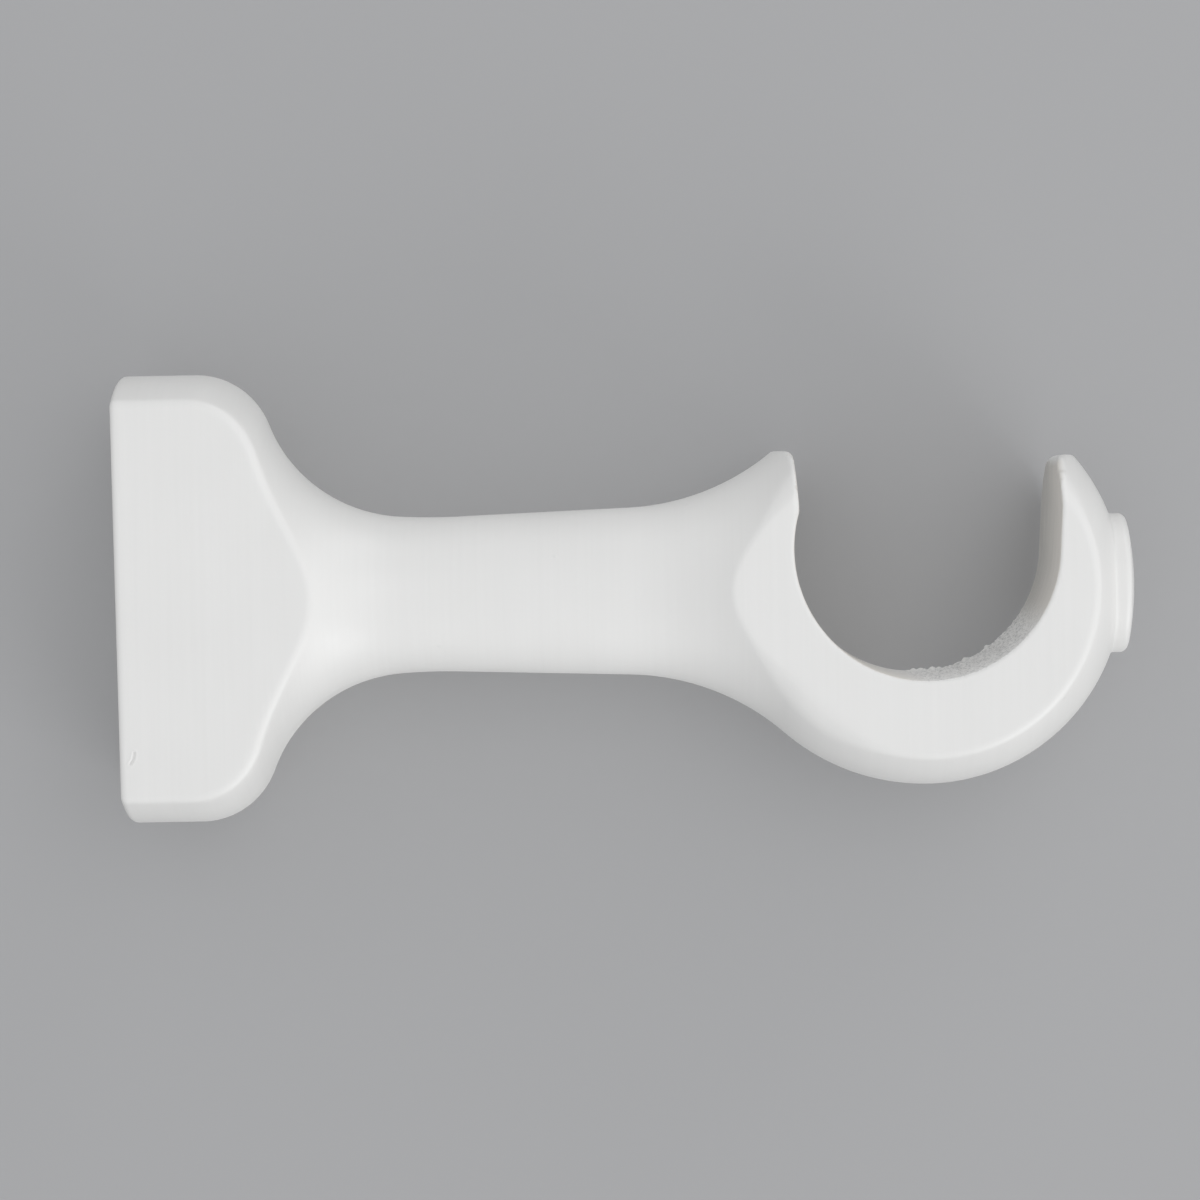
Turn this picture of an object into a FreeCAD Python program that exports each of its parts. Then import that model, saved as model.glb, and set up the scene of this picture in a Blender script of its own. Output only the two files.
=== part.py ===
# Curtain pole bracket, turned from one piece of wood, with flattened sides and an open cup for the pole.
# Millimetres and degrees. The arm's axis is X, which starts at the centre of the wall face and runs out
# into the room. Y runs along the pole, and Z is up.
import FreeCAD, Part
import os
from math import asin, atan2, cos, hypot, pi, radians, sin, sqrt, tan

import Sketcher
from FreeCAD import Vector

# Driving sizes
SIZES = {
    # Stock
    "thickness": 25.4,
    # Wall end of the turning, which is a disc that sweeps into the neck
    "base_diameter": 51.8,
    "base_band": 8.5,
    "shoulder_radius": 8.6,
    "cove_radius": 17.6,
    "runout_radius": 68.0,
    "runout_sweep": 5.6,
    # Neck, which starts at the end of the runout and swells towards the head
    "neck_diameter": 18.0,
    "neck_taper": 2.0,
    # Head, which is a ball whose wall side sweeps a little longer
    "pole_projection": 92.1,
    "head_lead": 0.3,
    "head_diameter": 45.8,
    "back_sweep": 1.9,
    "flare_radius": 28.0,
    # Button on the nose
    "button_diameter": 16.1,
    "button_stand": 1.5,
    "button_dome_radius": 34.0,
    "button_edge_radius": 0.8,
    "button_foot_radius": 0.5,
    # Cup that the pole drops into, and the wood left at its rim
    "pole_diameter": 28.0,
    "pole_play": 2.0,
    "pole_rise": 4.6,
    "throat_nip": 0.68,
    "throat_radius": 5.0,
    "mouth_flare": 6.0,
    "rim_wall": 1.5,
    "rim_fall": 1.7,
    # Hole for the wall screw
    "screw_hole_diameter": 6.5,
    "screw_hole_depth": 30.0,
    # Softened edges
    "side_edge_radius": 1.2,
    "lip_radius": 1.0,
}

# Lengths that follow from these sizes, as expressions that the sketches share. The mouth's walls, followed
# down to the pole's axis, stand inside the bed by the nip. The rim lies where the front wall has its thickness
HEAD = "(Sizes.pole_projection + Sizes.head_lead)"
BALL = "(Sizes.head_diameter / 2)"
BED = "((Sizes.pole_diameter + Sizes.pole_play) / 2)"
THROAT = f"({BED} - Sizes.throat_nip)"
FLARE = "(Sizes.mouth_flare * 1deg)"
SKIN = f"({THROAT} + Sizes.rim_wall - Sizes.pole_rise * tan({FLARE}))"
RIM = f"(cos({FLARE}) * (sqrt(pow({BALL}; 2) - pow({SKIN} * cos({FLARE}); 2)) - {SKIN} * sin({FLARE})))"

doc = FreeCAD.newDocument("pole_bracket")


def make_sheet():
    """The spreadsheet that every feature reads."""
    sheet = doc.addObject("Spreadsheet::Sheet", "Sizes")
    for row, (name, value) in enumerate(SIZES.items(), start=1):
        sheet.set(f"A{row}", name)
        sheet.set(f"B{row}", str(value))
        sheet.setAlias(f"B{row}", name)
    doc.recompute()
    return sheet


def size(name):
    """One size as the sheet holds it."""
    return float(sheet.get(name))


def measure(expression):
    """What an expression comes to, in millimetres or degrees."""
    found = sheet.evalExpression(expression)
    return float(getattr(found, "Value", found))


def add_sketch(body, name, role):
    """An empty sketch on one of the body's own origin planes."""
    sketch = body.newObject("Sketcher::SketchObject", name)
    plane = next(f for f in body.Origin.OriginFeatures if f.Role == role)
    sketch.AttachmentSupport = [(plane, "")]
    sketch.MapMode = "FlatFace"
    return sketch


def hold(sketch, name, expression, kind, *where):
    """A named constraint whose value comes from the sheet."""
    value = measure(expression)
    value = radians(value) if kind == "Angle" else value
    index = sketch.addConstraint(Sketcher.Constraint(kind, *where, value))
    sketch.renameConstraint(index, name)
    sketch.setExpression(f"Constraints.{name}", expression)


def fix(sketch, *where):
    """A constraint with no size of its own."""
    sketch.addConstraint(Sketcher.Constraint(*where))


ORIGIN = (-1, 1)
AXIS = -1
START, END, CENTRE = 1, 2, 3


class Outline:
    """A chain of lines and arcs in a sketch. Each piece knows which of its ends comes first."""

    def __init__(self, sketch):
        self.sketch = sketch
        self.pieces = {}

    def line(self, name, start, end):
        """A straight piece."""
        shape = Part.LineSegment(Vector(*start, 0), Vector(*end, 0))
        self.pieces[name] = (self.sketch.addGeometry(shape, False), START, END)

    def arc(self, name, centre, radius, start, end, hollow=False):
        """A round piece. A hollow arc runs anticlockwise, and a crowned one clockwise."""
        circle = Part.Circle(Vector(*centre, 0), Vector(0, 0, 1), radius)
        first, last = (start, end) if hollow else (end, start)
        a = atan2(first[1] - centre[1], first[0] - centre[0])
        b = atan2(last[1] - centre[1], last[0] - centre[0])
        index = self.sketch.addGeometry(Part.ArcOfCircle(circle, a, b if b > a else b + 2 * pi), False)
        self.pieces[name] = (index, START, END) if hollow else (index, END, START)

    def join(self, kind, *names):
        """Joins pieces end to start, either Tangent or Coincident."""
        for before, after in zip(names, names[1:]):
            one, _, one_end = self.pieces[before]
            two, two_start, _ = self.pieces[after]
            fix(self.sketch, kind, one, one_end, two, two_start)

    def index(self, name):
        """The piece's number in the sketch."""
        return self.pieces[name][0]

    def first(self, name):
        """The end that the chain comes to first, as a constraint names it."""
        return self.pieces[name][0], self.pieces[name][1]

    def last(self, name):
        """The end that the chain leaves by."""
        return self.pieces[name][0], self.pieces[name][2]


def between(one, two, reach):
    """The point on the way from one centre to another, at a given distance from the first."""
    share = reach / hypot(two[0] - one[0], two[1] - one[1])
    return one[0] + (two[0] - one[0]) * share, one[1] + (two[1] - one[1]) * share


def turned_profile(body):
    """Half of the turning's outline, from the wall face along the arm to the tip of the button."""
    base = size("base_diameter") / 2
    band = size("base_band")
    shoulder, cove, runout = size("shoulder_radius"), size("cove_radius"), size("runout_radius")
    neck = size("neck_diameter") / 2
    taper, sweep = radians(size("neck_taper")), radians(size("runout_sweep"))
    head_x, ball, flare = measure(HEAD), measure(BALL), size("flare_radius")
    back = ball + size("back_sweep")
    button = size("button_diameter") / 2
    dome, edge, foot = size("button_dome_radius"), size("button_edge_radius"), size("button_foot_radius")
    tip = head_x + ball + size("button_stand")

    # Centres of the arcs at the wall end, each touching the next
    shoulder_c = (band, base - shoulder)
    runout_y = neck + runout * cos(taper)
    cove_y = runout_y - (runout - cove) * cos(sweep - taper)
    cove_c = (band + sqrt((shoulder + cove) ** 2 - (cove_y - shoulder_c[1]) ** 2), cove_y)
    runout_c = (cove_c[0] + (runout - cove) * sin(sweep - taper), runout_y)
    neck_x = runout_c[0] + runout * sin(taper)
    neck_point = (neck_x, neck)
    # Centres at the head. The flare touches the neck's line and the back of the head
    back_c = (head_x, ball - back)
    off_x, off_y = neck_x - flare * sin(taper) - back_c[0], neck + flare * cos(taper) - back_c[1]
    slope = off_x * cos(taper) + off_y * sin(taper)
    neck_run = -slope - sqrt(slope**2 - off_x**2 - off_y**2 + (flare + back) ** 2)
    neck_end = (neck_x + neck_run * cos(taper), neck + neck_run * sin(taper))
    flare_c = (neck_end[0] - flare * sin(taper), neck_end[1] + flare * cos(taper))
    ball_c = (head_x, 0.0)
    # Centres at the button
    foot_c = (head_x + sqrt((ball + foot) ** 2 - (button + foot) ** 2), button + foot)
    dome_c = (tip - dome, 0.0)
    edge_c = (dome_c[0] + sqrt((dome - edge) ** 2 - (button - edge) ** 2), button - edge)

    sketch = add_sketch(body, "turned_profile", "XZ_Plane")
    outline = Outline(sketch)
    shoulder_end = between(shoulder_c, cove_c, shoulder)
    cove_end = between(runout_c, cove_c, runout)
    flare_end = between(flare_c, back_c, flare)
    crown = (head_x, ball)
    ball_end = between(ball_c, foot_c, ball)
    foot_end = (foot_c[0], button)
    edge_start = (edge_c[0], button)
    edge_end = between(dome_c, edge_c, dome)
    outline.line("wall_face", (0, 0), (0, base))
    outline.line("band", (0, base), (band, base))
    outline.arc("shoulder", shoulder_c, shoulder, (band, base), shoulder_end)
    outline.arc("cove", cove_c, cove, shoulder_end, cove_end, hollow=True)
    outline.arc("runout", runout_c, runout, cove_end, neck_point, hollow=True)
    outline.line("neck", neck_point, neck_end)
    outline.arc("flare", flare_c, flare, neck_end, flare_end, hollow=True)
    outline.arc("head_back", back_c, back, flare_end, crown)
    outline.arc("ball", ball_c, ball, crown, ball_end)
    outline.arc("foot", foot_c, foot, ball_end, foot_end, hollow=True)
    outline.line("button_side", foot_end, edge_start)
    outline.arc("button_edge", edge_c, edge, edge_start, edge_end)
    outline.arc("dome", dome_c, dome, edge_end, (tip, 0))
    outline.line("axis", (tip, 0), (0, 0))

    outline.join("Coincident", "wall_face", "band")
    outline.join("Tangent", "band", "shoulder", "cove", "runout", "neck", "flare", "head_back", "ball")
    outline.join("Tangent", "ball", "foot", "button_side", "button_edge", "dome")
    outline.join("Coincident", "dome", "axis", "wall_face")
    fix(sketch, "Coincident", *outline.first("wall_face"), *ORIGIN)
    fix(sketch, "Vertical", outline.index("wall_face"))
    fix(sketch, "Horizontal", outline.index("band"))
    fix(sketch, "Horizontal", outline.index("button_side"))
    fix(sketch, "Horizontal", outline.index("axis"))
    fix(sketch, "PointOnObject", outline.index("ball"), CENTRE, AXIS)
    fix(sketch, "PointOnObject", outline.index("dome"), CENTRE, AXIS)
    fix(sketch, "Vertical", outline.index("ball"), CENTRE, outline.index("head_back"), CENTRE)
    for piece, radius in (
        ("shoulder", "Sizes.shoulder_radius"),
        ("cove", "Sizes.cove_radius"),
        ("runout", "Sizes.runout_radius"),
        ("flare", "Sizes.flare_radius"),
        ("head_back", f"{BALL} + Sizes.back_sweep"),
        ("ball", BALL),
        ("foot", "Sizes.button_foot_radius"),
        ("button_edge", "Sizes.button_edge_radius"),
        ("dome", "Sizes.button_dome_radius"),
    ):
        hold(sketch, f"{piece}_r", radius, "Radius", outline.index(piece))
    hold(sketch, "base_r", "Sizes.base_diameter / 2", "DistanceY", *outline.last("wall_face"))
    hold(sketch, "band_x", "Sizes.base_band", "DistanceX", *outline.last("band"))
    hold(sketch, "runout_sweep", "Sizes.runout_sweep * 1deg", "Angle", outline.index("runout"))
    hold(sketch, "neck_r", "Sizes.neck_diameter / 2", "DistanceY", *outline.first("neck"))
    hold(sketch, "taper", "Sizes.neck_taper * 1deg", "Angle", outline.index("neck"))
    hold(sketch, "head_x", HEAD, "DistanceX", outline.index("ball"), CENTRE)
    hold(sketch, "button_r", "Sizes.button_diameter / 2", "DistanceY", *outline.first("button_side"))
    hold(sketch, "tip_x", f"{HEAD} + {BALL} + Sizes.button_stand", "DistanceX", *outline.last("dome"))
    return sketch


def rectangle(sketch, name, left, right, bottom, top):
    """A rectangle whose four sides are held by expressions."""
    outline = Outline(sketch)
    low_x, high_x, low_y, high_y = (measure(side) for side in (left, right, bottom, top))
    corners = [(low_x, low_y), (high_x, low_y), (high_x, high_y), (low_x, high_y)]
    sides = [f"{name}_{k}" for k in range(len(corners))]
    for k, side in enumerate(sides):
        outline.line(side, corners[k], corners[(k + 1) % len(corners)])
    outline.join("Coincident", *sides, sides[0])
    for k, side in enumerate(sides):
        fix(sketch, "Vertical" if k % 2 else "Horizontal", outline.index(side))
    low, high = outline.first(sides[0]), outline.first(sides[2])
    hold(sketch, f"{name}_left", left, "DistanceX", *low)
    hold(sketch, f"{name}_bottom", bottom, "DistanceY", *low)
    hold(sketch, f"{name}_right", right, "DistanceX", *high)
    hold(sketch, f"{name}_top", top, "DistanceY", *high)


def side_waste(body):
    """End view of what is sawn off either side to leave the stock's thickness."""
    sketch = add_sketch(body, "side_waste", "YZ_Plane")
    face, reach = "Sizes.thickness / 2", "Sizes.base_diameter"
    rectangle(sketch, "far", face, reach, f"-{reach}", reach)
    rectangle(sketch, "near", f"-{reach}", f"-{face}", f"-{reach}", reach)
    return sketch


def rim_waste(body):
    """Side view of what is trimmed off the top of the head, down to a rim that falls towards the nose."""
    sketch = add_sketch(body, "rim_waste", "XZ_Plane")
    outline = Outline(sketch)
    left, right = f"Sizes.pole_projection - {BALL}", f"Sizes.pole_projection + {BALL}"
    drop, top = f"{BALL} * tan(Sizes.rim_fall * 1deg)", "Sizes.head_diameter"
    rim_left, rim_right = (measure(left), measure(f"{RIM} + {drop}")), (measure(right), measure(f"{RIM} - {drop}"))
    top_left, top_right = (rim_left[0], measure(top)), (rim_right[0], measure(top))
    outline.line("rim", rim_left, rim_right)
    outline.line("front", rim_right, top_right)
    outline.line("above", top_right, top_left)
    outline.line("back", top_left, rim_left)
    outline.join("Coincident", "rim", "front", "above", "back", "rim")
    fix(sketch, "Vertical", outline.index("front"))
    fix(sketch, "Vertical", outline.index("back"))
    fix(sketch, "Horizontal", outline.index("above"))
    hold(sketch, "left", left, "DistanceX", *outline.first("rim"))
    hold(sketch, "right", right, "DistanceX", *outline.last("rim"))
    hold(sketch, "rim_left", f"{RIM} + {drop}", "DistanceY", *outline.first("rim"))
    hold(sketch, "rim_right", f"{RIM} - {drop}", "DistanceY", *outline.last("rim"))
    hold(sketch, "top", top, "DistanceY", *outline.last("front"))
    return sketch


def cup_waste(body):
    """Side view of the cup: a round bed for the pole, and a mouth that opens a little wider."""
    sketch = add_sketch(body, "cup_waste", "XZ_Plane")
    outline = Outline(sketch)
    centre = (size("pole_projection"), size("pole_rise"))
    bed, flare, top = measure(BED), radians(size("mouth_flare")), size("head_diameter")
    wide = f"({THROAT} + (Sizes.head_diameter - Sizes.pole_rise) * tan({FLARE}))"
    head_x, half = measure(HEAD), measure(wide)
    corners = {}
    for side in (-1, 1):
        # Where the mouth's wall, followed downwards, runs into the bed
        off = side * (head_x - centre[0]) + half
        level = off * cos(flare) - (top - centre[1]) * sin(flare)
        turn = asin(level / bed)
        corners[side] = (centre[0] + side * bed * sin(turn + flare), centre[1] + bed * cos(turn + flare))
    top_left, top_right = (head_x - half, top), (head_x + half, top)
    outline.line("back_wall", top_left, corners[-1])
    outline.arc("bed", centre, bed, corners[-1], corners[1], hollow=True)
    outline.line("front_wall", corners[1], top_right)
    outline.line("above", top_right, top_left)
    outline.join("Coincident", "back_wall", "bed", "front_wall", "above", "back_wall")
    fix(sketch, "Horizontal", outline.index("above"))
    hold(sketch, "bed_x", "Sizes.pole_projection", "DistanceX", outline.index("bed"), CENTRE)
    hold(sketch, "bed_z", "Sizes.pole_rise", "DistanceY", outline.index("bed"), CENTRE)
    hold(sketch, "bed_r", BED, "Radius", outline.index("bed"))
    hold(sketch, "top", "Sizes.head_diameter", "DistanceY", *outline.first("above"))
    hold(sketch, "top_front", f"{HEAD} + {wide}", "DistanceX", *outline.first("above"))
    hold(sketch, "top_back", f"{HEAD} - {wide}", "DistanceX", *outline.last("above"))
    hold(sketch, "front_lean", "90deg - Sizes.mouth_flare * 1deg", "Angle", outline.index("front_wall"))
    hold(sketch, "back_lean", "Sizes.mouth_flare * 1deg - 90deg", "Angle", outline.index("back_wall"))
    return sketch


def screw_hole(body):
    """The wall screw's hole, seen from the wall."""
    sketch = add_sketch(body, "screw_hole", "YZ_Plane")
    radius = size("screw_hole_diameter") / 2
    circle = sketch.addGeometry(Part.Circle(Vector(0, 0, 0), Vector(0, 0, 1), radius), False)
    fix(sketch, "Coincident", circle, CENTRE, *ORIGIN)
    hold(sketch, "hole_r", "Sizes.screw_hole_diameter / 2", "Radius", circle)
    return sketch


def cut(body, sketch, depth=None):
    """A pocket from a sketch. It goes through both ways, or to a depth along the sketch's normal."""
    before = body.Tip.Shape.Volume
    pocket = body.newObject("PartDesign::Pocket", f"{sketch.Name}_cut")
    pocket.Profile = sketch
    if depth:
        pocket.setExpression("Length", depth)
        pocket.Reversed = True
    else:
        pocket.Type = "ThroughAll"
        pocket.Midplane = True
    doc.recompute()
    if pocket.Shape.Volume > before - 1:
        raise RuntimeError(f"{pocket.Name} removes nothing")
    return pocket


def soften(body, name, radius, chosen):
    """A fillet on the edges of the body that a test picks out."""
    base = body.Tip
    names = [f"Edge{k}" for k, edge in enumerate(base.Shape.Edges, start=1) if chosen(edge)]
    if not names:
        raise RuntimeError(f"{name} finds no edge")
    fillet = body.newObject("PartDesign::Fillet", name)
    fillet.Base = (base, names)
    fillet.setExpression("Radius", radius)
    doc.recompute()
    return fillet


def points_along(edge):
    """Five points along an edge, its ends among them."""
    first, last = edge.ParameterRange
    return [edge.valueAt(first + (last - first) * k / 4) for k in range(5)]


NEAR = 0.01


def on_side(point):
    """True for a point of the two sawn sides."""
    return abs(abs(point.y) - size("thickness") / 2) < NEAR


def on_wall_face(point):
    """True for a point of the wall face."""
    return abs(point.x) < NEAR


def on_rim(point):
    """True for a point of the trimmed rim."""
    drop = (point.x - size("pole_projection")) * tan(radians(size("rim_fall")))
    return abs(point.z - measure(RIM) + drop) < NEAR


def on_bed(point):
    """True for a point on the round bed that the pole lies in."""
    return abs(hypot(point.x - size("pole_projection"), point.z - size("pole_rise")) - measure(BED)) < NEAR


def on_mouth(point):
    """True for a point on one of the mouth's two walls."""
    wall = measure(THROAT) + (point.z - size("pole_rise")) * tan(radians(size("mouth_flare")))
    return abs(abs(point.x - measure(HEAD)) - wall) < NEAR


def side_edge(edge):
    """True for the edges that run round the two sawn sides, apart from those on the wall face."""
    points = points_along(edge)
    return all(on_side(p) for p in points) and not all(on_wall_face(p) for p in points)


def lip(edge):
    """True for the two edges where the mouth meets the rim."""
    return all(on_rim(p) and on_mouth(p) for p in points_along(edge))


def throat(edge):
    """True for the two edges where the mouth's walls run into the bed."""
    return all(on_bed(p) and on_mouth(p) for p in points_along(edge))


def make_bracket():
    """The bracket, with its sides sawn, its head trimmed and bored, and its edges softened."""
    body = doc.addObject("PartDesign::Body", "bracket")
    body.Label = "bracket"
    turning = body.newObject("PartDesign::Revolution", "turning")
    turning.Profile = turned_profile(body)
    turning.ReferenceAxis = (turning.Profile[0], ["H_Axis"])
    turning.Angle = 360
    # Both ways round from the profile, so that the seam lies underneath, clear of every cut
    turning.Midplane = True
    doc.recompute()
    cut(body, side_waste(body))
    soften(body, "side_edges", "Sizes.side_edge_radius", side_edge)
    cut(body, rim_waste(body))
    cut(body, cup_waste(body))
    soften(body, "lips", "Sizes.lip_radius", lip)
    # The throat's rounding is held to half the height of the mouth, so that it stays clear of the lips
    soften(body, "throats", f"min(Sizes.throat_radius; ({RIM} - Sizes.pole_rise) / 2)", throat)
    cut(body, screw_hole(body), depth="Sizes.screw_hole_depth")
    body.Placement = FreeCAD.Placement()
    return body


def write(parts):
    """Checks every object, then writes each sub-part to its own file."""
    doc.recompute()
    for thing in doc.Objects:
        if "Invalid" in thing.State or "Error" in thing.State:
            raise RuntimeError(f"{thing.Name} failed: {thing.State}")
    for part in parts:
        if part.Shape.isNull() or not part.Shape.isValid():
            raise RuntimeError(f"{part.Label} has no valid shape")
    os.makedirs("parts", exist_ok=True)
    for part in parts:
        part.Shape.exportStep(f"parts/{part.Label}.step")
        box = part.Shape.optimalBoundingBox()
        print(part.Label, "solids", len(part.Shape.Solids), "volume", round(part.Shape.Volume, 1))
        print("size", round(box.XLength, 2), round(box.YLength, 2), round(box.ZLength, 2))


sheet = make_sheet()
write([make_bracket()])
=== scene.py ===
from math import cos, inf, pi, radians, sin, sqrt

import bmesh
import bpy
import numpy as np
from mathutils import Matrix, Quaternion, Vector, noise


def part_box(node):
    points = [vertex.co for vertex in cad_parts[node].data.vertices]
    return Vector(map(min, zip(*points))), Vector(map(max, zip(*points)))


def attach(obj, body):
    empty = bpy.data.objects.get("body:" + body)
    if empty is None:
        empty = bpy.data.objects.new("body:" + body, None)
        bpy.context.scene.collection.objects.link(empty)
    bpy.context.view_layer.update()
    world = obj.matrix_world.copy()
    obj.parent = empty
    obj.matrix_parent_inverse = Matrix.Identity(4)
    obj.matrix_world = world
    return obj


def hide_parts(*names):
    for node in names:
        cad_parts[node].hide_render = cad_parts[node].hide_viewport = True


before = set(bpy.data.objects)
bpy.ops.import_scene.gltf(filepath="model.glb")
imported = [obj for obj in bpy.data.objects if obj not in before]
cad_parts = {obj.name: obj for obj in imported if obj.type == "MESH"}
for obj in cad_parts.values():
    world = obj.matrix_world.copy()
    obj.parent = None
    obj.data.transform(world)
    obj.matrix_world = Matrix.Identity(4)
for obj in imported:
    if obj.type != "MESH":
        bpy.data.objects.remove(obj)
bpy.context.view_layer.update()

MM = 0.001

# Stage
SHEET_COLOUR = (0.42, 0.42, 0.425)
SHEET_ROUGHNESS = 0.9
SHEET_GLOSS = 0.1
SHEET_SIZE = 3.0
SHEET_X = 0.0584
SHEET_GAP = 0.2 * MM
BACKDROP_COLOUR = (0.42, 0.42, 0.425)

# Camera, at the photograph's viewing angle
CAMERA_TARGET = Vector((54.892, 0.0, -0.985)) * MM
CAMERA_DISTANCE = 468 * MM
CAMERA_AZIMUTH = radians(0.736)
CAMERA_ELEVATION = radians(1.537)
CAMERA_ROLL = radians(-1.003)
CAMERA_LENS = 120.94
CAMERA_SENSOR = 36.0
CAMERA_NEAR = 0.01

# Soft lamps, all aimed at the bracket: name, place, power in watts, and whether the paint mirrors them
SOFTBOX_SIZE = 0.8
SOFTBOX_AIM = Vector((60, 0, 0)) * MM
SOFTBOXES = [
    ("low_softbox", (0.96, -0.33, -0.95), 5.7, True),
    ("high_softbox", (0.69, -0.23, 1.17), 3.3, True),
    ("front_softbox", (0.40, -1.26, 0.35), 1.4, True),
    ("rear_softbox", (0.06, 1.60, 0.0), 8.0, False),
]

# The room's own light, stronger from the camera's side, and how soon it turns from one to the other
ROOM_COLOUR = (0.975, 0.985, 1.0)
ROOM_BEHIND = 0.30
ROOM_IN_FRONT = 0.80
ROOM_TURN = 0.2

# The bracket, in millimetres. Its axis is X, from the wall face to the nose
HALF_THICKNESS = 12.7
WALL_LEAN = radians(0.5)
WALL_SANDED = 0.12
RIM_AT_POLE = 15.393
RIM_FALL = radians(1.7)
HOLE_RADIUS = 3.25
HOLE_DEPTH = 30.0
POLE_CENTRE = np.array((92.1, 4.6))
BED_RADIUS = 15.0
HEAD_X = 92.4
HEAD_BACK = 69.2
BACK_WALL = (14.29, radians(4.4))
FRONT_WALL = (14.72, radians(3.3))
MOUTH_TOP = 45.8

# The front prong's inner wall leans in from a height, and more from its far side to its near one
TIP_LEAN = 0.1
LEAN_FROM = 9
LEAN_HEIGHT = 8
LEAN_FAR_SIDE = 9
LEAN_WIDTH = 18
LEAN_MOST = 1.1

# How far the paint and the sandpaper round each kind of edge
SIDE_EDGE = 1.2
SANDED_EDGE = 3.6
WALL_EDGE = 0.7
CUP_EDGE = 0.35
RIM_EDGE = 0.45
BACK_LIP = 1.0
FRONT_LIP = 1.2
HOLE_EDGE = 0.3
BACK_THROAT = 2.5
FRONT_THROAT = 6.0

# Where more sanding sets in: up the prongs, down the head's underside, and along X from the neck. On
# the underside it ends again towards the nose
PRONGS_SANDED = (7, 13)
UNDERSIDE_SANDED = (5, 12)
UNDERSIDE_END = (80, 88)
HEAD_SANDED = (70, 74)

# Side view of the turning: where each run ends, the centre of an arc, and whether it is hollow
TURNING = [
    ((-20.0, 25.9), None, False),
    ((8.5, 25.9), None, False),
    ((16.53272, 20.37172), (8.5, 17.3), False),
    ((31.86665, 9.09276), (32.97177, 26.65803), True),
    ((38.50957, 9.0), (36.13641, 76.95858), True),
    ((58.42895, 9.6956), None, False),
    ((75.98492, 16.68992), (57.45177, 37.67854), True),
    ((92.4, 22.9), (92.4, -1.9), False),
    ((113.71662, 8.36731), (92.4, 0.0), False),
    ((114.18205, 8.05), (114.18205, 8.55), True),
    ((114.97873, 8.05), None, False),
    ((115.75942, 7.4247), (114.97873, 7.25), False),
    ((116.48, -2.6), (82.58, 0.0), False),
]

# Guards for the sums: far inside the wood, next to nothing, and the slack where two runs meet
FAR_INSIDE = -99.0
TINY = 1e-9
SLACK = 1e-6

# The skin: its usual face, its smoothing, and how often it is drawn onto the true surface
SKIN_STEP = 0.7
SKIN_ROUNDS = 3
SMOOTH_PASSES = 2
SMOOTHING = 0.5
FIRST_DRAWS = 3
DRAWS = 4

# Where faces are halved, level by level: how near an edge and the cup, round the button's rim along X
# and out from the axis, on torn patches, near torn grain and round the nick. The last level is only for
# the nick
HALVING = [
    {"edge": -1.1, "cup": -inf, "x": 112.8, "out": (6.3, inf), "patch": 0, "torn": 0.5, "nick": 2.4},
    {"edge": -0.5, "cup": -0.5, "x": 113.2, "out": (6.9, 9.3), "patch": 0.1, "torn": 0.2, "nick": 1.8},
    {"nick": 1.2},
]
PATCH_MARGIN = 1.2

# Nick in the near side: its ends, and its bow, depth and sides, with the small burr round it
NICK = ((2.0, -12.7, -17.1), (1.55, -12.7, -18.3))
NICK_BOW = 0.12
NICK_DEPTH = 0.16
NICK_SIDES = (0.02, 0.22)
BURR_HEIGHT = 0.03
BURR_RISE = (0.15, 0.28)
BURR_FALL = (0.28, 0.5)

# Torn patches on the coves: place, reach and depth. Then the scale and seed of their grain, how rough
# it is, and its least and most
PATCHES = [
    ((16.9, -1.5, -18.0), 1.6, 0.16),
    ((18.4, -1.0, -16.4), 1.7, 0.20),
    ((19.8, -1.5, -15.1), 1.4, 0.14),
    ((20.8, -0.8, 14.2), 1.1, 0.10),
]
PATCH_GRAIN = (0.7, 11.0)
PATCH_ROUGHNESS = 1.6
PATCH_LIMITS = (-0.3, 1.5)

# Torn grain in the cup: where it sets in and ends round the bed, in degrees from the lowest line, and
# where it fades under the cup's surface
TORN_START = (-14, 4)
TORN_END = (48, 66)
TORN_FADE = (-0.5, -0.1)
# Its coarse and fine grain, as scale and seed, and their heights in millimetres
COARSE_GRAIN = (1.2, 3.0)
FINE_GRAIN = (0.5, 7.0)
COARSE_HEIGHT = 0.06
FINE_HEIGHT = 0.09
TORN_SUNK = 0.03
# It is more ragged at the far edge, and nearly clean at the near one
FAR_EDGE = (8, 12.5)
FAR_HEIGHT = 0.05
NEAR_EDGE = (-12.5, -7)
NEAR_ROUGHNESS = 0.15
# All rough grain is drawn out along X, and is left out where it is hardly there
GRAIN_STRETCH = (0.6, 1.0, 1.0)
HARDLY = 0.01

# Crumbs of paint along the bed: place along X and Y, reach and height. Then how well they cover
CRUMBS = [
    (91.3, 10.6, 0.9, 0.20),
    (91.9, 12.0, 0.6, 0.34),
    (92.7, 11.2, 1.0, 0.38),
    (93.2, 12.2, 0.5, 0.26),
    (94.1, 11.7, 0.9, 0.42),
    (94.9, 12.2, 0.5, 0.28),
    (95.2, -9.6, 0.5, 0.26),
    (93.6, 3.5, 0.6, 0.20),
    (98.0, 12.1, 0.7, 0.26),
    (100.6, 12.2, 0.5, 0.24),
]
CRUMB_COVER = 1.6

# Where the cup's thin paint begins, with its ragged edge, and which faces next to it may carry it
THIN_EDGE = (-0.13, -0.02)
THIN_RAGGED = 0.05
THIN_WAVE = 1.4
THIN_REACH = -0.9

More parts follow.
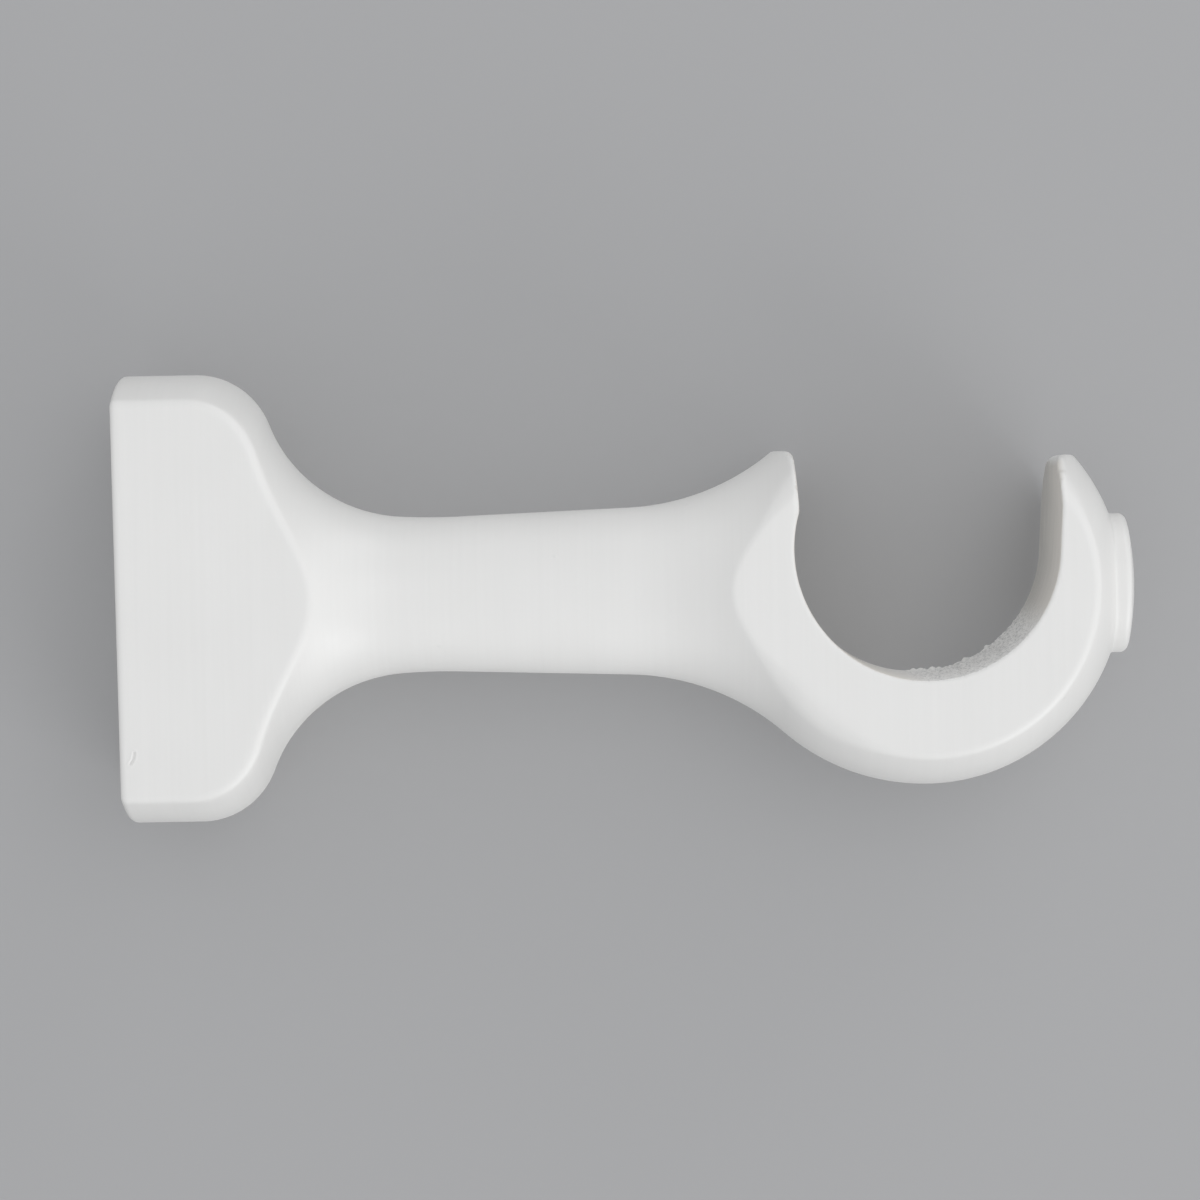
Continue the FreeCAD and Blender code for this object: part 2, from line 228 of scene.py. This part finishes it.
# Paint, as linear colours
WHITE = (0.81, 0.805, 0.79, 1)
SHADED_WHITE = (0.785, 0.78, 0.765, 1)
THIN_LIGHT = (0.60, 0.585, 0.555, 1)
THIN_DARK = (0.45, 0.44, 0.42, 1)
# Painted light: the white that the cup's near edge turns to, where it lies open to the lamps
LIT_NEAR_WHITE = (0.81, 0.775, 0.725, 1)
TORN_LIGHT = (0.89, 0.885, 0.875, 1)
TORN_DARK = (0.56, 0.56, 0.555, 1)

# Patterns in the paint, as waves a millimetre along X, Y and Z
RINGS = (1.9, 0.035, 0.035)
GRAIN = (0.05, 1.3, 1.3)
PEEL = (1.1, 1.1, 1.1)
BLOTCH = (0.11, 0.11, 0.11)
NIBS = (0.24, 0.24, 0.24)
BORED_MARKS = (0.12, 3.2, 0.12)
FIBRES = (3.0, 1.1, 3.0)
FLECKS = (3.8, 1.4, 3.8)

# From which value of a pattern to which one it turns from its first colour or state to its second
TONE_TURN = (0.3, 0.7)
NIB_SIDES = (0.03, 0.075)
NIB_CHOICE = (0.62, 0.64)
MARKS_TURN = (0.35, 0.65)
FIBRES_TURN = (0.38, 0.56)
FLECKS_TURN = (0.60, 0.68)

# Roughness of the satin paint by its blotches, and of the dry thin paint by its marks
SATIN_ROUGHNESS = (0.7, 1.3, 0.36, 0.47)
DRY_ROUGHNESS = (0.3, 0.7, 0.55, 0.75)

# Paler low in the cup, and painted light towards its near edge: from a place in millimetres to another,
# and its share at each
LOW_PALER = (-8.5, -10.2, 0.0, 0.7)
NEAR_PAINTED_LIGHT = (11.0, -11.0, 0.0, 0.62)
NEAR_PAINTED_LIGHT_ON_TORN = (4.0, -12.0, 0.0, 0.35)

# How deep the fine patterns look, and how much deeper the cup's marks are
BUMP_STRENGTH = 0.5
BUMP_DEPTH = 0.03 * MM
CUP_BUMP = 6.0
MARKS_SHARE = 0.4


class Nodes:
    """A node tree that is built in few words."""

    def __init__(self, tree):
        self.tree = tree

    def add(self, kind, settings=(), **sockets):
        """A node with its settings, and its inputs as values or as sockets to link."""
        node = self.tree.nodes.new(kind)
        for name, value in dict(settings).items():
            setattr(node, name, value)
        for name, value in sockets.items():
            self.feed(node, name.replace("_", " "), value)
        return node

    def feed(self, node, name, value):
        """A value or a link for one input, by its name or number."""
        if isinstance(value, bpy.types.NodeSocket):
            self.tree.links.new(value, node.inputs[name])
        else:
            node.inputs[name].default_value = value

    def math(self, operation, *values):
        """The result of a Math node."""
        node = self.add("ShaderNodeMath", {"operation": operation})
        for number, value in enumerate(values):
            self.feed(node, number, value)
        return node.outputs[0]

    def millimetres(self):
        """The object's own coordinates, in millimetres."""
        place = self.add("ShaderNodeTexCoord").outputs["Object"]
        return self.stretched(place, (1 / MM, 1 / MM, 1 / MM))

    def stretched(self, place, stretch):
        """Coordinates drawn out or squeezed along the axes."""
        node = self.add("ShaderNodeVectorMath", {"operation": "MULTIPLY"})
        self.feed(node, 0, place)
        self.feed(node, 1, stretch)
        return node.outputs[0]

    def cloud(self, place, detail=2.0, roughness=0.5):
        """A soft noise of about one wave a unit."""
        node = self.add(
            "ShaderNodeTexNoise", Vector=place, Scale=1.0, Detail=detail, Roughness=roughness
        )
        return node.outputs[0]

    def ramp(self, value, low, high, start=0.0, end=1.0, shape="LINEAR"):
        """A value carried from one range to another, and held there."""
        node = self.add("ShaderNodeMapRange", {"clamp": True, "interpolation_type": shape}, Value=value)
        for name, number in (("From Min", low), ("From Max", high), ("To Min", start), ("To Max", end)):
            self.feed(node, name, number)
        return node.outputs["Result"]

    def blend(self, share, one, other):
        """Two colours mixed."""
        node = self.add("ShaderNodeMix", {"data_type": "RGBA"})
        for number, value in ((0, share), (6, one), (7, other)):
            self.feed(node, number, value)
        return node.outputs[2]

    def between(self, share, one, other):
        """Two numbers mixed."""
        node = self.add("ShaderNodeMix")
        for number, value in ((0, share), (2, one), (3, other)):
            self.feed(node, number, value)
        return node.outputs[0]

    def either(self, share, one, other):
        """Two shaders mixed."""
        node = self.add("ShaderNodeMixShader")
        for number, value in enumerate((share, one, other)):
            self.feed(node, number, value)
        return node.outputs["Shader"]


def new_material(name):
    """A material with nothing but its shader."""
    material = bpy.data.materials.new(name)
    material.use_nodes = True
    return material, Nodes(material.node_tree), material.node_tree.nodes["Principled BSDF"]


def make_camera():
    """A long lens, nearly square on to the side of the bracket."""
    data = bpy.data.cameras.new("camera")
    data.lens = CAMERA_LENS
    data.sensor_width = CAMERA_SENSOR
    data.sensor_fit = "HORIZONTAL"
    data.clip_start = CAMERA_NEAR
    camera = bpy.data.objects.new("camera", data)
    bpy.context.scene.collection.objects.link(camera)
    level = cos(CAMERA_ELEVATION)
    back = Vector((sin(CAMERA_AZIMUTH) * level, -cos(CAMERA_AZIMUTH) * level, sin(CAMERA_ELEVATION)))
    camera.location = CAMERA_TARGET + back * CAMERA_DISTANCE
    turn = back.to_track_quat("Z", "Y") @ Quaternion((0, 0, 1), CAMERA_ROLL)
    camera.rotation_euler = turn.to_euler()
    bpy.context.scene.camera = camera


def add_softbox(name, place, power, mirrored):
    """A square soft lamp that faces the bracket."""
    data = bpy.data.lights.new(name, "AREA")
    data.shape = "SQUARE"
    data.size = SOFTBOX_SIZE
    data.energy = power
    lamp = bpy.data.objects.new(name, data)
    bpy.context.scene.collection.objects.link(lamp)
    lamp.location = place
    lamp.rotation_euler = (SOFTBOX_AIM - Vector(place)).to_track_quat("-Z", "Y").to_euler()
    lamp.visible_glossy = mirrored


def make_light():
    """The soft lamps, and a room that is paler in front. The camera sees a plain backdrop instead."""
    for softbox in SOFTBOXES:
        add_softbox(*softbox)
    world = bpy.data.worlds.new("room")
    world.use_nodes = True
    nodes, made = Nodes(world.node_tree), world.node_tree.nodes
    place = nodes.add("ShaderNodeTexCoord").outputs["Generated"]
    way = nodes.add("ShaderNodeSeparateXYZ", Vector=place)
    strength = nodes.ramp(
        way.outputs["Y"], ROOM_TURN, -ROOM_TURN, ROOM_BEHIND, ROOM_IN_FRONT, "SMOOTHSTEP"
    )
    nodes.feed(made["Background"], "Color", (*ROOM_COLOUR, 1))
    nodes.feed(made["Background"], "Strength", strength)
    seen = nodes.add("ShaderNodeBackground", Color=(*BACKDROP_COLOUR, 1))
    to_camera = nodes.add("ShaderNodeLightPath").outputs["Is Camera Ray"]
    room = nodes.either(to_camera, made["Background"].outputs["Background"], seen.outputs["Background"])
    nodes.feed(made["World Output"], "Surface", room)
    bpy.context.scene.world = world


def pale_sheet():
    """Matt paper that only the camera sees, and only from its front. All other light goes through."""
    paper, nodes, surface = new_material("pale_sheet")
    nodes.feed(surface, "Base Color", (*SHEET_COLOUR, 1))
    nodes.feed(surface, "Roughness", SHEET_ROUGHNESS)
    nodes.feed(surface, "Specular IOR Level", SHEET_GLOSS)
    front = nodes.add("ShaderNodeMath", {"operation": "SUBTRACT", "use_clamp": True})
    nodes.feed(front, 0, nodes.add("ShaderNodeLightPath").outputs["Is Camera Ray"])
    nodes.feed(front, 1, nodes.add("ShaderNodeNewGeometry").outputs["Backfacing"])
    clear = nodes.add("ShaderNodeBsdfTransparent")
    shown = nodes.either(front.outputs[0], clear.outputs["BSDF"], surface.outputs["BSDF"])
    nodes.feed(paper.node_tree.nodes["Material Output"], "Surface", shown)
    return paper


def make_sheet():
    """The plain pale sheet that the bracket lies on, far side down."""
    sheet = bmesh.new()
    bmesh.ops.create_grid(sheet, x_segments=1, y_segments=1, size=SHEET_SIZE / 2)
    bmesh.ops.rotate(sheet, verts=sheet.verts, matrix=Matrix.Rotation(radians(90), 3, "X"))
    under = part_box("bracket")[1].y + SHEET_GAP
    bmesh.ops.translate(sheet, verts=sheet.verts, vec=(SHEET_X, under, 0))
    mesh = bpy.data.meshes.new("sheet")
    sheet.to_mesh(mesh)
    sheet.free()
    mesh.materials.append(pale_sheet())
    floor = bpy.data.objects.new("sheet", mesh)
    bpy.context.scene.collection.objects.link(floor)


def mouth_runs():
    """Side view of the cup, from the back wall's top to the front wall's, with rounded throats."""
    ends = []
    walls = ((-1, BACK_WALL, BACK_THROAT), (1, FRONT_WALL, FRONT_THROAT))
    for side, (half, flare), radius in walls:
        up = np.array((side * sin(flare), cos(flare)))
        into_wood = np.array((side * cos(flare), -sin(flare)))
        foot = np.array((HEAD_X + side * half, POLE_CENTRE[1]))
        off = foot + radius * into_wood - POLE_CENTRE
        rise = -off @ up + sqrt((off @ up) ** 2 - off @ off + (BED_RADIUS + radius) ** 2)
        centre = POLE_CENTRE + off + rise * up
        on_bed = POLE_CENTRE + (centre - POLE_CENTRE) * BED_RADIUS / (BED_RADIUS + radius)
        top = foot + up * (MOUTH_TOP - foot[1]) / up[1]
        ends.append((top, centre - radius * into_wood, centre, on_bed))
    back, front = ends
    return [
        (back[0], None, False),
        (back[1], None, False),
        (back[3], back[2], False),
        (front[3], POLE_CENTRE, True),
        (front[1], front[2], False),
        (front[0], None, False),
    ]


def off_outline(points, runs):
    """How far points of a plane lie outside an outline, and which way is out. Far off is inside."""
    value = np.full(len(points), FAR_INSIDE)
    way = np.tile((1.0, 0.0), (len(points), 1))
    nearest = np.full(len(points), inf)
    start = np.array(runs[0][0])
    for end, centre, hollow in runs[1:]:
        end = np.array(end)
        if centre is None:
            length = np.linalg.norm(end - start)
            along = (end - start) / length
            normal = np.array((-along[1], along[0]))
            off = points - start
            distance = off @ normal
            out = np.tile(normal, (len(points), 1))
            beside = (off @ along > -SLACK) & (off @ along < length + SLACK)
        else:
            centre = np.array(centre)
            first, last = start - centre, end - centre
            off = points - centre
            length = np.maximum(np.linalg.norm(off, axis=1), TINY)
            side = -1 if hollow else 1
            distance = side * (length - np.linalg.norm(first))
            out = side * off / length[:, None]
            after = -side * (first[0] * off[:, 1] - first[1] * off[:, 0]) > -SLACK
            before = -side * (off[:, 0] * last[1] - off[:, 1] * last[0]) > -SLACK
            wide = -side * (first[0] * last[1] - first[1] * last[0]) < 0
            beside = (after | before) if wide else (after & before)
        closer = beside & (np.abs(distance) < nearest)
        value[closer], way[closer] = distance[closer], out[closer]
        nearest[closer] = np.abs(distance[closer])
        start = end
    return value, way


def ease(value, low, high):
    """0 up to the low value, 1 from the high one, and a soft rise between."""
    rise = np.clip((value - low) / (high - low), 0, 1)
    return rise * rise * (3 - 2 * rise)


def plane(points, through, out):
    """How far points lie outside a plane, and which way is out."""
    out = np.array(out) / np.linalg.norm(out)
    return (points - np.array(through)) @ out, np.tile(out, (len(points), 1))


def meet(a, b, radius):
    """What lies inside both, with the edge between them rounded."""
    (a_off, a_out), (b_off, b_out) = a, b
    reach = np.maximum(radius * (1 - (a_out * b_out).sum(1)), SLACK)
    u, v = np.maximum(a_off + reach, 0), np.maximum(b_off + reach, 0)
    length = np.maximum(np.hypot(u, v), TINY)
    out = (u[:, None] * a_out + v[:, None] * b_out) / length[:, None]
    apart = (u == 0) & (v == 0)
    off = np.where(apart, np.maximum(a_off, b_off), length - reach)
    out = np.where(apart[:, None], np.where((a_off > b_off)[:, None], a_out, b_out), out)
    slope = np.maximum(np.linalg.norm(out, axis=1), SLACK)
    return off / slope, out / slope[:, None]


def turned_wood(points):
    """How far points lie outside the turning, and which way is out."""
    x, y, z = points.T
    radius = np.maximum(np.hypot(y, z), TINY)
    off, way = off_outline(np.column_stack((x, radius)), TURNING)
    return off, np.column_stack((way[:, 0], way[:, 1] * y / radius, way[:, 1] * z / radius))


def cup_opening(points):
    """How far points lie in the cup's opening, and which way that is."""
    x, y, z = points.T
    higher = np.clip(z - LEAN_FROM, 0, LEAN_HEIGHT)
    nearer = np.clip((LEAN_FAR_SIDE - y) / LEAN_WIDTH, 0, LEAN_MOST)
    lean = TIP_LEAN * higher * nearer * (x > HEAD_X)
    off, way = off_outline(np.column_stack((x + lean, z)), mouth_runs())
    return off, np.column_stack((way[:, 0], 0 * x, way[:, 1]))


def screw_hole(points):
    """How far points lie in the wall screw's hole, and which way that is."""
    x, y, z = points.T
    radius = np.maximum(np.hypot(y, z), TINY)
    shaft, floor = HOLE_RADIUS - radius, HOLE_DEPTH - x
    inward = np.column_stack((0 * x, -y / radius, -z / radius))
    return np.minimum(shaft, floor), np.where((shaft < floor)[:, None], inward, (-1, 0, 0))


def form(points):
    """How far points lie outside the bracket, which way is out, how near an edge, how far in the cup."""
    x, _, z = points.T
    near = plane(points, (0, -HALF_THICKNESS, 0), (0, -1, 0))
    far = plane(points, (0, HALF_THICKNESS, 0), (0, 1, 0))
    wall = plane(points, (WALL_SANDED, 0, 0), (-cos(WALL_LEAN), 0, -sin(WALL_LEAN)))
    rim = plane(points, (POLE_CENTRE[0], 0, RIM_AT_POLE), (sin(RIM_FALL), 0, cos(RIM_FALL)))
    cup, hole = cup_opening(points), screw_hole(points)
    # The prongs' outer corners, and the head's underside towards the wall, are sanded rounder
    underside = ease(-z, *UNDERSIDE_SANDED) * (1 - ease(x, *UNDERSIDE_END))
    sanded = np.maximum(ease(z, *PRONGS_SANDED), underside) * ease(x, *HEAD_SANDED)
    side_edge = SIDE_EDGE + (SANDED_EDGE - SIDE_EDGE) * sanded
    crease = np.full(len(points), FAR_INSIDE)
    solid = turned_wood(points)
    for other, rounding in ((near, side_edge), (far, side_edge), (wall, WALL_EDGE), (hole, HOLE_EDGE)):
        crease = np.maximum(crease, np.minimum(solid[0], other[0]))
        solid = meet(solid, other, rounding)
    crease = np.maximum(crease, np.minimum(rim[0], cup[0]))
    opening = meet(rim, cup, np.where(x < HEAD_X, BACK_LIP, FRONT_LIP))
    opening = np.where(x < HEAD_BACK, FAR_INSIDE, opening[0]), opening[1]
    crease = np.maximum(crease, np.minimum(solid[0], opening[0]))
    solid = meet(solid, opening, np.where(cup[0] > rim[0], CUP_EDGE, RIM_EDGE))
    return solid[0], solid[1], crease, cup[0]


def move_to(mesh, points):
    """Puts a bmesh's vertices at places in millimetres."""
    for vert, point in zip(mesh.verts, points):
        vert.co = point * MM


def settle(mesh, draws):
    """Draws every vertex onto the bracket's true surface, and says where they are, in millimetres."""
    points = np.array([vert.co[:] for vert in mesh.verts]) / MM
    for _ in range(draws):
        off, out, _, _ = form(points)
        points -= off[:, None] * out
    move_to(mesh, points)
    return points


def near_spot(points, spot, reach):
    """1 at a spot, and 0 from its reach on."""
    return 1 - ease(np.linalg.norm(points - np.array(spot), axis=1), 0, reach)


def near_crumb(points, x, y, reach):
    """1 at a crumb on the bed, and 0 from its reach on."""
    level = POLE_CENTRE[1] - sqrt(BED_RADIUS ** 2 - (x - POLE_CENTRE[0]) ** 2)
    return near_spot(points, (x, y, level), reach)


def torn_share(points, cup):
    """How torn the grain is: worst low on the front of the bed, and only on the cup's own surface."""
    turn = np.degrees(np.arctan2(points[:, 0] - POLE_CENTRE[0], POLE_CENTRE[1] - points[:, 2]))
    return ease(turn, *TORN_START) * (1 - ease(turn, *TORN_END)) * ease(cup, *TORN_FADE)


def to_halve(points, limits):
    """Which vertices need finer faces."""
    wanted = near_spot(points, np.mean(NICK, axis=0), limits["nick"]) > 0
    if "edge" in limits:
        _, _, crease, cup = form(points)
        radius = np.hypot(points[:, 1], points[:, 2])
        low, high = limits["out"]
        patches = sum(near_spot(points, spot, reach + PATCH_MARGIN) for spot, reach, _ in PATCHES)
        wanted |= (crease > limits["edge"]) & (cup > limits["cup"])
        wanted |= (points[:, 0] > limits["x"]) & (radius > low) & (radius < high)
        wanted |= (patches > limits["patch"]) | (torn_share(points, cup + limits["torn"]) > 0)
    return wanted


def halve(mesh, wanted):
    """Halves the edges whose two ends are both wanted."""
    mesh.verts.ensure_lookup_table()
    mesh.verts.index_update()
    edges = [edge for edge in mesh.edges if all(wanted[vert.index] for vert in edge.verts)]
    bmesh.ops.subdivide_edges(mesh, edges=edges, cuts=1, use_grid_fill=True)


def rubble(points, scale, seed):
    """A rough noise between about -1 and 1, drawn out along the grain, at a scale in millimetres."""
    shift = Vector((seed, 2.0 * seed, -seed))
    stretch = Vector(GRAIN_STRETCH) / scale
    return np.array([noise.turbulence(Vector(p) * stretch + shift, 3, False) for p in points])


def torn_lift(points):
    """How far the torn grain on the bed stands proud, in millimetres."""
    coarse, fine = rubble(points, *COARSE_GRAIN), rubble(points, *FINE_GRAIN)
    far_edge = ease(points[:, 1], *FAR_EDGE)
    rough = NEAR_ROUGHNESS + (1 - NEAR_ROUGHNESS) * ease(points[:, 1], *NEAR_EDGE)
    ragged = FAR_HEIGHT * far_edge * (coarse + fine)
    return rough * (COARSE_HEIGHT * coarse + FINE_HEIGHT * fine + ragged - TORN_SUNK)


def nick_depth(points):
    """How deep the nick and its burr go at each point, in millimetres."""
    start, end = np.array(NICK[0]), np.array(NICK[1])
    span = end - start
    along = np.clip((points - start) @ span / (span @ span), 0, 1)
    bow = NICK_BOW * np.sin(pi * along)[:, None] * np.array((1, 0, 0))
    away = np.linalg.norm(points - (start + along[:, None] * span + bow), axis=1)
    burr = BURR_HEIGHT * (ease(away, *BURR_RISE) - ease(away, *BURR_FALL))
    return NICK_DEPTH * (1 - ease(away, *NICK_SIDES)) - burr


def roughen(points, torn):
    """How far the surface stands proud of the true one, in millimetres."""
    lift = np.zeros(len(points))
    here = np.nonzero(torn > HARDLY)[0]
    lift[here] += torn[here] * torn_lift(points[here])
    for x, y, reach, height in CRUMBS:
        lift += height * near_crumb(points, x, y, reach)
    # The cutter met end grain on the coves
    for spot, reach, depth in PATCHES:
        share = near_spot(points, spot, reach)
        here = np.nonzero(share > HARDLY)[0]
        pits = np.clip(PATCH_ROUGHNESS * rubble(points[here], *PATCH_GRAIN), *PATCH_LIMITS)
        lift[here] -= depth * share[here] * pits
    return lift - nick_depth(points)


def new_group(name, inputs, outputs):
    """An empty node group with named number sockets, its inputs all 1 to begin with."""
    group = bpy.data.node_groups.new(name, "ShaderNodeTree")
    for socket in inputs:
        made = group.interface.new_socket(name=socket, in_out="INPUT", socket_type="NodeSocketFloat")
        made.default_value = 1.0
    for socket in outputs:
        group.interface.new_socket(name=socket, in_out="OUTPUT", socket_type="NodeSocketFloat")
    nodes = Nodes(group)
    return group, nodes, nodes.add("NodeGroupInput"), nodes.add("NodeGroupOutput")


def paint_skin():
    """Brushed paint over turned wood: turning rings, grain through it, orange peel and dust nibs."""
    if "paint_skin" in bpy.data.node_groups:
        return bpy.data.node_groups["paint_skin"]
    group, nodes, given, found = new_group(
        "paint_skin", ("Rings", "Grain", "Peel", "Nibs"), ("Tone", "Roughness", "Height")
    )
    mm = nodes.millimetres()
    rings = nodes.cloud(nodes.stretched(mm, RINGS), detail=3.0, roughness=0.6)
    grain = nodes.cloud(nodes.stretched(mm, GRAIN), detail=3.0, roughness=0.6)
    peel = nodes.cloud(nodes.stretched(mm, PEEL))
    blotch = nodes.cloud(nodes.stretched(mm, BLOTCH))
    cells = nodes.add("ShaderNodeTexVoronoi", Vector=nodes.stretched(mm, NIBS), Scale=1.0)
    dot = nodes.ramp(cells.outputs["Distance"], *NIB_SIDES, 1.0, 0.0)
    lot = nodes.add("ShaderNodeSeparateColor", Color=cells.outputs["Color"]).outputs[0]
    nib = nodes.math("MULTIPLY", dot, nodes.ramp(lot, *NIB_CHOICE))
    height = nodes.math("MULTIPLY", rings, given.outputs["Rings"])
    for pattern, share in ((grain, "Grain"), (peel, "Peel"), (nib, "Nibs")):
        height = nodes.math("MULTIPLY_ADD", pattern, given.outputs[share], height)
    # The tone is half of the rings and half of the blotches, and each nib is a little shaded
    uneven = nodes.math("MULTIPLY_ADD", rings, 0.5, nodes.math("MULTIPLY", blotch, 0.5))
    tone = nodes.math("MULTIPLY_ADD", nib, -0.5, nodes.ramp(uneven, *TONE_TURN))
    nodes.feed(found, "Tone", tone)
    nodes.feed(found, "Roughness", nodes.ramp(nodes.math("ADD", blotch, peel), *SATIN_ROUGHNESS))
    nodes.feed(found, "Height", height)
    return group


def add_bump(nodes, shader, height):
    """Fine patterns that are too small for the mesh."""
    bump = nodes.add("ShaderNodeBump", Strength=BUMP_STRENGTH, Distance=BUMP_DEPTH, Height=height)
    nodes.feed(shader, "Normal", bump.outputs["Normal"])


def satin_paint():
    """White satin paint, as on all the outside."""
    paint, nodes, shader = new_material("satin_paint")
    shares = {"Rings": 0.35, "Grain": 0.45, "Peel": 0.9, "Nibs": 2.0}
    skin = nodes.add("ShaderNodeGroup", {"node_tree": paint_skin()}, **shares)
    nodes.feed(shader, "Base Color", nodes.blend(skin.outputs["Tone"], SHADED_WHITE, WHITE))
    nodes.feed(shader, "Roughness", skin.outputs["Roughness"])
    add_bump(nodes, shader, skin.outputs["Height"])
    return paint


def thin_paint():
    """Thin grey paint in the cup: bored marks on its walls, torn grain low on its front, and painted
    light towards its near edge.
    """
    paint, nodes, shader = new_material("thin_paint")
    shares = {"Rings": 0.1, "Grain": 0.2, "Peel": 0.5, "Nibs": 0.6}
    skin = nodes.add("ShaderNodeGroup", {"node_tree": paint_skin()}, **shares)
    mm = nodes.millimetres()
    along = nodes.add("ShaderNodeSeparateXYZ", Vector=mm).outputs
    bare = nodes.add("ShaderNodeAttribute", {"attribute_name": "bare"}).outputs["Fac"]
    torn = nodes.add("ShaderNodeAttribute", {"attribute_name": "torn"}).outputs["Fac"]
    marks = nodes.cloud(nodes.stretched(mm, BORED_MARKS), detail=3.0, roughness=0.65)
    fibres = nodes.cloud(nodes.stretched(mm, FIBRES), detail=3.0, roughness=0.7)
    flecks = nodes.cloud(nodes.stretched(mm, FLECKS), detail=2.0, roughness=0.6)
    # The cup is paler low down, and paler towards its near edge with painted light, as that edge lies
    # open to the lamps and the far part in shade
    wall = nodes.blend(nodes.ramp(marks, *MARKS_TURN), THIN_DARK, THIN_LIGHT)
    wall = nodes.blend(nodes.ramp(along["Z"], *LOW_PALER), wall, SHADED_WHITE)
    wall = nodes.blend(nodes.ramp(along["Y"], *NEAR_PAINTED_LIGHT), wall, LIT_NEAR_WHITE)
    ripped = nodes.blend(nodes.ramp(fibres, *FIBRES_TURN), TORN_DARK, TORN_LIGHT)
    ripped = nodes.blend(nodes.ramp(flecks, *FLECKS_TURN), ripped, SHADED_WHITE)
    # Painted light on the torn grain as well, paler towards the cup's near edge
    ripped = nodes.blend(nodes.ramp(along["Y"], *NEAR_PAINTED_LIGHT_ON_TORN), ripped, SHADED_WHITE)
    inside = nodes.blend(torn, wall, ripped)
    outside = nodes.blend(skin.outputs["Tone"], SHADED_WHITE, WHITE)
    nodes.feed(shader, "Base Color", nodes.blend(bare, outside, inside))
    dry = nodes.ramp(marks, *DRY_ROUGHNESS)
    nodes.feed(shader, "Roughness", nodes.between(bare, skin.outputs["Roughness"], dry))
    marked = nodes.math("MULTIPLY", marks, MARKS_SHARE)
    coarse = nodes.math("MULTIPLY", nodes.math("MULTIPLY_ADD", fibres, torn, marked), bare)
    add_bump(nodes, shader, nodes.math("MULTIPLY_ADD", coarse, CUP_BUMP, skin.outputs["Height"]))
    return paint


def even_skin(source):
    """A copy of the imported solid's mesh, as an even skin of small faces."""
    mesh = source.data.copy()
    work = bmesh.new()
    work.from_mesh(mesh)
    bmesh.ops.remove_doubles(work, verts=work.verts, dist=0.001 * MM)
    work.to_mesh(mesh)
    work.free()
    block = bpy.data.objects.new("block", mesh)
    bpy.context.scene.collection.objects.link(block)
    even = block.modifiers.new("even", "REMESH")
    even.mode = "VOXEL"
    even.voxel_size = SKIN_STEP * MM
    view = bpy.context.evaluated_depsgraph_get()
    skin = bpy.data.meshes.new_from_object(block.evaluated_get(view), depsgraph=view)
    bpy.data.objects.remove(block)
    skin.name = "painted_bracket"
    return skin


def shape_skin(mesh):
    """Draws the even skin onto the true surface, with finer faces where the bracket has fine forms."""
    settle(mesh, FIRST_DRAWS)
    axes = {"use_axis_x": True, "use_axis_y": True, "use_axis_z": True}
    for _ in range(SKIN_ROUNDS):
        for _ in range(SMOOTH_PASSES):
            bmesh.ops.smooth_vert(mesh, verts=mesh.verts, factor=SMOOTHING, **axes)
        points = settle(mesh, DRAWS)
    for limits in HALVING:
        halve(mesh, to_halve(points, limits))
        points = settle(mesh, DRAWS)
    return points


def make_bracket():
    """The painted wood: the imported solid's skin, drawn onto the true surface and then worn as it is."""
    skin = even_skin(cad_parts["bracket"])
    work = bmesh.new()
    work.from_mesh(skin)
    points = shape_skin(work)
    _, out, _, cup = form(points)
    torn = torn_share(points, cup)
    move_to(work, points + roughen(points, torn)[:, None] * out)
    # Faces in and next to the cup carry its thin paint. It ends in a ragged line, and under the crumbs
    ragged = np.array([noise.noise(Vector(p) / THIN_WAVE) for p in points])
    crumbs = sum(near_crumb(points, x, y, reach) for x, y, reach, _ in CRUMBS)
    bare = ease(cup + THIN_RAGGED * ragged, *THIN_EDGE) * (1 - np.clip(CRUMB_COVER * crumbs, 0, 1))
    near_cup = cup > THIN_REACH
    skin.materials.clear()
    skin.materials.append(satin_paint())
    skin.materials.append(thin_paint())
    work.verts.ensure_lookup_table()
    work.verts.index_update()
    for face in work.faces:
        face.smooth = True
        face.material_index = int(all(near_cup[vert.index] for vert in face.verts))
    work.to_mesh(skin)
    work.free()
    for name, values in (("bare", bare), ("torn", torn)):
        layer = skin.attributes.new(name, "FLOAT", "POINT")
        layer.data.foreach_set("value", values.astype(np.float32))
    piece = bpy.data.objects.new("painted_bracket", skin)
    bpy.context.scene.collection.objects.link(piece)
    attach(piece, "root")
    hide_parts("bracket")


make_camera()
make_light()
make_sheet()
make_bracket()
bpy.context.scene.view_settings.view_transform = "Standard"
